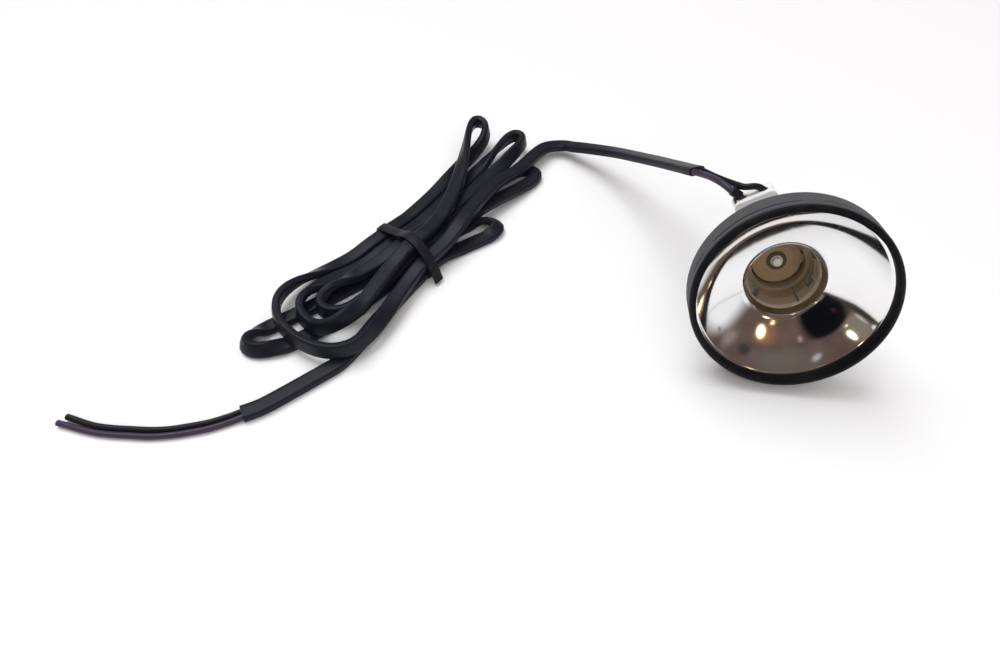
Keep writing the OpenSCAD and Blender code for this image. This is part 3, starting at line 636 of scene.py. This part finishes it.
def finish(name, colour, second, roughness, metallic=0.0, grain=2500.0, bump=0.1, specular=0.5,
           dust=None, scratches=0.0, outer=None):
    """A material made from the shared grain, dust and scratches.

    Its colour and roughness vary from the first to the second. Dust is its amount and colour, and
    outer is a radius from the lamp's axis, the width of its soft edge, and the colour and the
    added roughness beyond it.
    """
    material = bpy.data.materials.get(name)
    if material:
        return material
    material = bpy.data.materials.new(name)
    material.use_nodes = True
    tree = material.node_tree
    shader = tree.nodes["Principled BSDF"]
    grained = use(tree, grain_group(), Scale=grain)
    base = mixed(tree, grained.outputs["Patches"], colour, second)
    rough = ranged(tree, grained.outputs["Patches"], *roughness)
    # on the ring and the bulb sleeve the colour beyond the radius is painted light: a painted sheen on
    # the ring's outer side and a painted highlight on the sleeve's mouth
    if outer:
        radius, edge, outer_colour, outer_rough = outer
        beyond = use(tree, radius_group(), Radius=radius, Edge=edge).outputs["Outside"]
        base = mixed(tree, beyond, base, outer_colour)
        rough = maths(tree, "ADD", rough, maths(tree, "MULTIPLY", beyond, outer_rough), clamp=True)
    if dust:
        amount, dust_colour = dust
        lies = use(tree, dust_group(), Amount=amount).outputs["Mask"]
        base = mixed(tree, lies, base, dust_colour)
        rough = maths(tree, "ADD", rough, maths(tree, "MULTIPLY", lies, DUST_ROUGHNESS), clamp=True)
    if scratches:
        lines = use(tree, scratch_group(), Amount=scratches).outputs["Mask"]
        rough = maths(tree, "ADD", rough, lines, clamp=True)
    tree.links.new(base, shader.inputs["Base Color"])
    tree.links.new(rough, shader.inputs["Roughness"])
    shader.inputs["Metallic"].default_value = metallic
    shader.inputs["Specular IOR Level"].default_value = specular
    bumped = tree.nodes.new("ShaderNodeBump")
    bumped.inputs["Strength"].default_value = bump
    bumped.inputs["Distance"].default_value = GRAIN_DEPTH
    tree.links.new(grained.outputs["Height"], bumped.inputs["Height"])
    tree.links.new(bumped.outputs["Normal"], shader.inputs["Normal"])
    return material


def rubber_finish():
    """Black rubber, duller on the ring's outer side, where a paler colour paints the sheen of light
    glancing off that side.
    """
    look = bpy.context.scene.lamp_settings
    # beyond 24.7 mm from the lamp's axis the rubber is painted paler: painted sheen on the ring's lit
    # outer side
    return finish("Ring rubber", look.rubber, (0.007, 0.007, 0.009), (0.42, 0.58), grain=2600.0,
                  bump=0.25, specular=0.1, dust=(0.10, (0.09, 0.09, 0.10)),
                  outer=(24.7 * MM, 0.3 * MM, (0.085, 0.088, 0.096), 0.06))


def sheath_finish():
    """Soft black sheath with a blue cast."""
    look = bpy.context.scene.lead_settings
    return finish("Sheath vinyl", look.sheath, (0.0135, 0.0152, 0.0240), (0.32, 0.44), grain=1800.0,
                  bump=0.12, specular=0.16, dust=(0.04, (0.08, 0.08, 0.09)))


def wire_finish(which):
    """The purple or the black insulation."""
    look = bpy.context.scene.lead_settings
    if which == "purple":
        return finish("Purple vinyl", look.purple, (0.042, 0.028, 0.056), (0.3, 0.42), grain=2400.0,
                      specular=0.3)
    return finish("Black vinyl", (0.009, 0.009, 0.011), (0.015, 0.015, 0.018), (0.3, 0.42), grain=2400.0,
                  specular=0.2)


def strap_finish():
    """Dull black rubber."""
    return finish("Strap rubber", (0.008, 0.009, 0.013), (0.014, 0.015, 0.02), (0.4, 0.55), bump=0.2,
                  specular=0.15, dust=(0.06, (0.1, 0.1, 0.11)))


def mirror_finish():
    """Metallised mirror with hairline scratches."""
    look = bpy.context.scene.lamp_settings
    return finish("Metallised mirror", look.mirror, (0.88, 0.88, 0.87), (0.05, 0.1), metallic=1.0,
                  grain=900.0, bump=0.05, scratches=0.12)


def dress(node, material):
    """Gives a CAD node another finish."""
    piece = frame["nodes"][node]
    piece.data.materials.clear()
    piece.data.materials.append(material)
    for face in piece.data.polygons:
        face.material_index = 0


# operators

class PLACE_OT_camera(bpy.types.Operator):
    """Place the camera at the photograph's view"""
    bl_idname = "signal_lamp.camera"
    bl_label = "Camera"

    def execute(self, context):
        data = bpy.data.cameras.new("photo_camera")
        data.lens, data.sensor_width = LENS, SENSOR
        data.clip_start, data.clip_end = CAMERA_SEES
        camera = bpy.data.objects.new("photo_camera", data)
        camera.location = CAMERA_PLACE
        camera.rotation_euler = [math.radians(turn) for turn in CAMERA_TURN]
        context.scene.collection.objects.link(camera)
        context.scene.camera = camera
        context.scene.view_settings.view_transform = "Standard"
        return {"FINISHED"}


class MAKE_OT_lead(bpy.types.Operator):
    """Make the flat sheath with its hank, the wires at both ends and the strap"""
    bl_idname = "signal_lamp.lead"
    bl_label = "Lead"

    def execute(self, context):
        look = context.scene.lead_settings
        path, roll = sheath_path()
        section = oval(look.sheath_width, look.sheath_thickness, EDGE_ROUNDNESS, sides=28)
        sheath = swept("sheath", path, section, sheath_finish(), roll)
        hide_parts("sheath_lead", "sheath_hank", "sheath_tail")
        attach(sheath, "lamp")
        section = oval(look.wire_diameter, look.wire_diameter, 1, sides=16)
        for colour, node, route, free in (("black", "black_wire_lead", BLACK_ROUTE, False),
                                          ("purple", "purple_wire_lead", PURPLE_ROUTE, False),
                                          ("black", "black_wire_tail", BLACK_TAIL, True),
                                          ("purple", "purple_wire_tail", PURPLE_TAIL, True)):
            line = evenly(through(route, WIRE_STEPS), WIRE_SPACING) * MM
            wire = swept(node.replace("_wire", "_core"), line, section, wire_finish(colour))
            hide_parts(node)
            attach(wire, "lamp")
        strap = self.strap(look.strap_width)
        return {"FINISHED"}

    def strap(self, width):
        """The flat band drawn round the hank's waist, with its loose end."""
        low, half = STRAP_LOW, STRAP_HALF
        top = layer_z(0) + STRAP_LIFT + SHEATH_THICKNESS / 2 + STRAP_GAP
        outline = [(-half, low), (half, low), (half, top - 0.6), (2.3, top + LAYER_RISE + 0.3),
                   (-2.4, top + 2 * LAYER_RISE), (-6.9, top + 2 * LAYER_RISE),
                   (-half, top + LAYER_RISE - 0.6)]
        loose_end = [(-half - 0.3, top + 1.8), (-half - 1.2, top + 1.2), (-half - 2.4, 2.6),
                     (-half - 3.3, 0.9)]
        verts, faces = self.band(self.eased(outline), width, 0, closed=True)
        more, more_faces = self.band(through(loose_end, STRAP_STEPS), width, len(verts))
        piece = new_piece("hank_band", verts + more, faces + more_faces, strap_finish(), sharp=50)
        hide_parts("hank_strap")
        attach(piece, "lamp")
        return piece

    def eased(self, outline):
        """A closed outline with its corners rounded."""
        corners = [np.array(corner) for corner in outline]
        places = []
        for before, corner, after in zip(corners[-1:] + corners, corners, corners[1:] + corners[:1]):
            back, on = before - corner, after - corner
            reach = min(STRAP_BEND, BEND_SHARE * np.linalg.norm(back), BEND_SHARE * np.linalg.norm(on))
            for t in np.linspace(0, 1, BEND_STEPS):
                places.append(corner + reach * (1 - t) ** 2 * unit(back) + reach * t * t * unit(on))
        return places

    def band(self, line, width, first, closed=False):
        """Points of the band along (across, up) places, and its faces, numbered from a first point."""
        count = len(line)
        verts = []
        for i, place in enumerate(line):
            before, after = i - 1, (i + 1) % count
            if not closed:
                before, after = max(i - 1, 0), min(i + 1, count - 1)
            way = unit(line[after] - line[before])
            outward = np.array((way[1], -way[0])) * STRAP_THICKNESS
            for out, along in STRAP_SECTION:
                across, up = place + outward * (out if closed else out - 0.5)
                verts.append(on_surface((along * width / MM + STRAP_SLANT * across, across, up)) * MM)
        return verts, skin(count, len(STRAP_SECTION), closed, first)


class MAKE_OT_ring(bpy.types.Operator):
    """Make the black rubber ring round the bowl"""
    bl_idname = "signal_lamp.ring"
    bl_label = "Rubber ring"

    def execute(self, context):
        look = context.scene.lamp_settings
        front, rear, lip = look.ring_front, look.ring_rear, look.mouth_radius
        bead, inner_bend, rear_bend = 1.75 * MM, 0.35 * MM, 0.3 * MM
        inner, grip, groove = lip + 0.45 * MM, lip - 0.3 * MM, RING_R - 0.7 * MM
        # the mould line: its height, then its radii from the outside in, each with its half width
        line, edge, floor = 0.65 * MM, RING_R - 0.06 * MM, RING_R - 0.4 * MM
        mould = [(RING_R, 0.38 * MM), (edge, 0.27 * MM), (floor, 0.16 * MM)]
        profile = [(groove, 0), (inner, 0)]
        profile += arc((inner + inner_bend, front - inner_bend), inner_bend, 180, 90, 6)
        profile += arc((RING_R - bead, front - bead), bead, 90, 0, 16)
        profile += [(r, line + half) for r, half in mould]
        profile += [(r, line - half) for r, half in reversed(mould)]
        profile += [(RING_R, -rear * k / 5) for k in (1, 2, 3, 4)]
        profile += arc((RING_R - rear_bend, -rear + rear_bend), rear_bend, 0, -90, 5)
        profile += [(grip, -rear), (grip, -2.5 * MM), (lip + 0.5 * MM, -FLANGE), (groove, -FLANGE)]

        def broken(r, z, a):
            """The mould line comes and goes round the ring."""
            if r in (edge, floor):
                come = 0.5 + 0.5 * math.sin(9 * a + 2.2 * math.sin(4 * a + 1) + 0.8)
                r = RING_R - (RING_R - r) * (0.15 + 0.85 * smooth(0.25, 0.6, come))
            return r, z

        ring = revolved("rubber_ring", profile, rubber_finish(), turns=360, sharp=35, shape=broken)
        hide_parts("rim_ring")
        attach(ring, "lamp")
        return {"FINISHED"}


class MAKE_OT_reflector(bpy.types.Operator):
    """Make the metallised bowl with its flange, rolled lip and neck"""
    bl_idname = "signal_lamp.reflector"
    bl_label = "Reflector"

    def execute(self, context):
        look = context.scene.lamp_settings
        mouth, focal, throat = look.mouth_radius, look.focal_length, look.throat_radius
        edge = throat + 0.6 * MM
        rim, rim_rise = 5.9 * MM, 1.0 * MM      # width and height of the raised rim
        dip, throat_dip = 1.5 * MM, 0.3 * MM    # width and depth of the dip to the throat

        def zones(r):
            """How far a radius lies in the raised rim and in the dip to the throat, from 0 to 1."""
            return max(0, r - mouth + rim) / rim, max(0, edge + dip - r) / dip

        def depth(r):
            """Height of the bowl's inner surface at a radius."""
            u, v = zones(r)
            return -((mouth ** 2 - r ** 2) / (4 * focal) + rim_rise * (1 - u * u) + throat_dip * v * v)

        def slope(r):
            """Slope of the bowl's inner surface at a radius."""
            u, v = zones(r)
            return r / (2 * focal) + 2 * rim_rise * u / rim + 2 * throat_dip * v / dip

        rows, wall, bend = 96, 0.8 * MM, 0.3 * MM
        flange, neck_out, hub_out = RING_R - 0.8 * MM, throat + 0.9 * MM, throat + 2.75 * MM
        hub = depth(edge) - 1.1 * MM
        neck = hub - 1.4 * MM
        profile = [(flange, -FLANGE), (flange, 0), (mouth + 0.1 * MM, 0)]
        for i in range(1, rows + 1):
            r = mouth + (edge + bend - mouth) * i / rows
            profile.append((r, depth(r)))
        for degrees in (22, 45, 67, 90):
            a = math.radians(degrees)
            fall = bend * slope(edge) * math.sin(a) + bend * (1 - math.cos(a))
            profile.append((edge + bend - bend * math.sin(a), depth(edge + bend) - fall))
        profile += [(throat, neck), (neck_out, neck), (neck_out, hub), (hub_out, hub),
                    (hub_out, hub + 0.6 * MM)]
        for i in range(rows + 1):
            r = edge + (mouth - edge) * i / rows
            grow = wall / math.hypot(slope(r), 1)
            outside, z = r + grow * slope(r), depth(r) - grow
            if outside > hub_out + 0.05 * MM and z < -FLANGE - 0.1 * MM:
                profile.append((outside, z))
        profile.append((profile[-1][0] + 0.05 * MM, -FLANGE))
        bowl = revolved("mirror_bowl", profile, mirror_finish(), turns=256, sharp=40)
        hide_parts("reflector")
        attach(bowl, "lamp")
        return {"FINISHED"}


class DRESS_OT_socket(bpy.types.Operator):
    """Finish the bulb sleeve, the sprung contact and the holder behind it"""
    bl_idname = "signal_lamp.socket"
    bl_label = "Bulb socket"

    def execute(self, context):
        look = context.scene.lamp_settings
        # beyond 8.7 mm from the lamp's axis the plating is painted pale and made smoother: a painted
        # highlight where the sleeve's rolled mouth catches the light
        plated = finish("Dull plating", look.plating, [c * 0.72 for c in look.plating], (0.34, 0.5),
                        metallic=0.35, grain=1500.0, bump=0.15, scratches=0.2,
                        outer=(8.7 * MM, 0.3 * MM, (0.62, 0.57, 0.47), -0.15))
        laminate = finish("Laminate", look.laminate, [c * 0.75 for c in look.laminate], (0.5, 0.7),
                          grain=3500.0, bump=0.3)
        # the contact is coloured dark brown beyond 1.5 mm from the lamp's axis, round its bright dome
        tinned = finish("Tinned", (0.97, 0.96, 0.94), (0.86, 0.85, 0.82), (0.35, 0.5), bump=0.2,
                        outer=(1.5 * MM, 0.15 * MM, (0.10, 0.075, 0.045), 0.2))
        brass = finish("Brass", (0.7, 0.56, 0.3), (0.5, 0.38, 0.2), (0.25, 0.4), metallic=1.0,
                       grain=2000.0, bump=0.15)
        steel = finish("Spring steel", (0.6, 0.61, 0.62), (0.45, 0.45, 0.46), (0.2, 0.35), metallic=1.0)
        nylon = finish("White nylon", look.nylon, (0.87, 0.87, 0.84), (0.35, 0.5), grain=1200.0,
                       dust=(0.08, (0.6, 0.58, 0.52)))
        solder = finish("Solder", (0.62, 0.62, 0.63), (0.5, 0.5, 0.5), (0.3, 0.5), metallic=1.0)
        dark = finish("Dark steel", (0.08, 0.075, 0.07), (0.12, 0.1, 0.08), (0.4, 0.6), metallic=1.0)
        for node, material in {
                "bulb_sleeve": plated, "contact_disc": laminate, "centre_contact": tinned,
                "contact_retainer": brass, "live_terminal": brass, "insulating_washer": laminate,
                "holder_body": nylon, "holder_cap": nylon, "earth_tab": brass, "wire_clamp": dark,
                "live_solder": solder, "earth_solder": solder,
                "seat_gasket": rubber_finish(), "wire_end_sleeve": wire_finish("black"),
                "live_wire_inner": wire_finish("purple"),
                "earth_wire_inner": wire_finish("black")}.items():
            dress(node, material)
        self.spring(steel)
        return {"FINISHED"}

    def spring(self, material):
        """The coil spring behind the disc, which shortens as the contact goes in."""
        radius, wire, turns, steps, sides = 4.3 * MM, 0.6 * MM, 4, 24, 12
        along = [FACE.dot(v.co - SEAT) for v in frame["nodes"]["contact_spring"].data.vertices]
        back, front = min(along), max(along)
        verts = []
        for i in range(turns * steps + 1):
            turn = 2 * math.pi * i / steps
            rise = back + wire / 2 + (front - back - wire) * i / (turns * steps)
            for k in range(sides):
                about = 2 * math.pi * k / sides
                r = radius + wire / 2 * math.cos(about)
                verts.append(LAMP @ Vector((r * math.cos(turn), r * math.sin(turn),
                                            rise + wire / 2 * math.sin(about))))
        piece = new_piece("coil_spring", verts, skin(turns * steps + 1, sides), material, sharp=50)
        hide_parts("contact_spring")
        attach(piece, "lamp")
        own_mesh(piece)


class MAKE_OT_stage(bpy.types.Operator):
    """Make the pale table top, the soft lights and the dim room"""
    bl_idname = "signal_lamp.stage"
    bl_label = "Stage"

    def execute(self, context):
        look = context.scene.stage_settings
        top = finish("Table top", look.floor, [c * 0.99 for c in look.floor], (0.57, 0.63), grain=400.0,
                     bump=0.05)
        corners = [(x * TABLE_HALF, y * TABLE_HALF, 0) for x, y in ((-1, -1), (1, -1), (1, 1), (-1, 1))]
        new_piece("table_top", corners, [(0, 1, 2, 3)], top)
        self.room(context, look)
        for name, place, size, mirrored in LIGHTS:
            data = bpy.data.lights.new(name, "AREA")
            data.shape, data.size, data.color = "SQUARE", size, look.light
            data.energy = getattr(look, name + "_power")
            light = bpy.data.objects.new(name, data)
            light.location = place
            light.rotation_euler = (LIT_PLACE - light.location).to_track_quat("-Z", "Y").to_euler()
            light.visible_glossy = mirrored
            context.scene.collection.objects.link(light)
        return {"FINISHED"}

    def room(self, context, look):
        """The dim room with its lights, which only reflections see; the camera sees a pale backdrop."""
        world = bpy.data.worlds.new("Room")
        context.scene.world = world
        world.use_nodes = True
        tree = world.node_tree
        way = tree.nodes.new("ShaderNodeTexCoord").outputs["Generated"]
        glow = mixed(tree, noise(tree, 4.0, 3, way), [c * 0.55 for c in look.room],
                     [c * 1.45 for c in look.room])
        for (turn, lift), (wide, high), soft, colour, strength in ROOM_SHAPES:
            turn, lift = math.radians(turn), math.radians(lift)
            level = Vector((math.cos(turn), math.sin(turn), 0))
            right = Vector((math.sin(turn), -math.cos(turn), 0))
            up = math.cos(lift) * Vector((0, 0, 1)) - math.sin(lift) * level
            patch = use(tree, patch_group(), Softness=soft,
                        Forward=math.cos(lift) * level + math.sin(lift) * Vector((0, 0, 1)),
                        Right=right / math.sin(math.radians(wide)), Up=up / math.sin(math.radians(high)))
            tree.links.new(way, patch.inputs["Direction"])
            glow = mixed(tree, patch.outputs["Mask"], glow, [c * strength for c in colour])
        seen = tree.nodes.new("ShaderNodeLightPath").outputs["Is Camera Ray"]
        tree.links.new(mixed(tree, seen, glow, look.backdrop), tree.nodes["Background"].inputs["Color"])


class VIEW3D_PT_signal_lamp(bpy.types.Panel):
    """Lists the steps that build the part"""
    bl_label = "Reflector insert"
    bl_idname = "VIEW3D_PT_signal_lamp"
    bl_space_type = "VIEW_3D"
    bl_region_type = "UI"
    bl_category = "Lamp"

    def draw(self, context):
        for step in STEPS:
            self.layout.operator(step.bl_idname)
        for group in SETTINGS:
            settings = getattr(context.scene, group)
            box = self.layout.box()
            for name in settings.__annotations__:
                box.prop(settings, name)


STEPS = (PLACE_OT_camera, MAKE_OT_lead, MAKE_OT_ring, MAKE_OT_reflector, DRESS_OT_socket, MAKE_OT_stage)
SETTINGS = {"lamp_settings": LampSettings, "lead_settings": LeadSettings,
            "stage_settings": StageSettings}


def register():
    """Registers the settings, the steps and the panel."""
    for kind in (*SETTINGS.values(), *STEPS, VIEW3D_PT_signal_lamp):
        bpy.utils.register_class(kind)
    for name, kind in SETTINGS.items():
        setattr(bpy.types.Scene, name, bpy.props.PointerProperty(type=kind))


def unregister():
    """Takes them away again."""
    for name in SETTINGS:
        delattr(bpy.types.Scene, name)
    for kind in (VIEW3D_PT_signal_lamp, *reversed(STEPS), *reversed(SETTINGS.values())):
        bpy.utils.unregister_class(kind)


def main():
    """Builds the dressed part."""
    register()
    for step in STEPS:
        group, name = step.bl_idname.split(".")
        getattr(getattr(bpy.ops, group), name)()


if __name__ == "__main__":
    main()
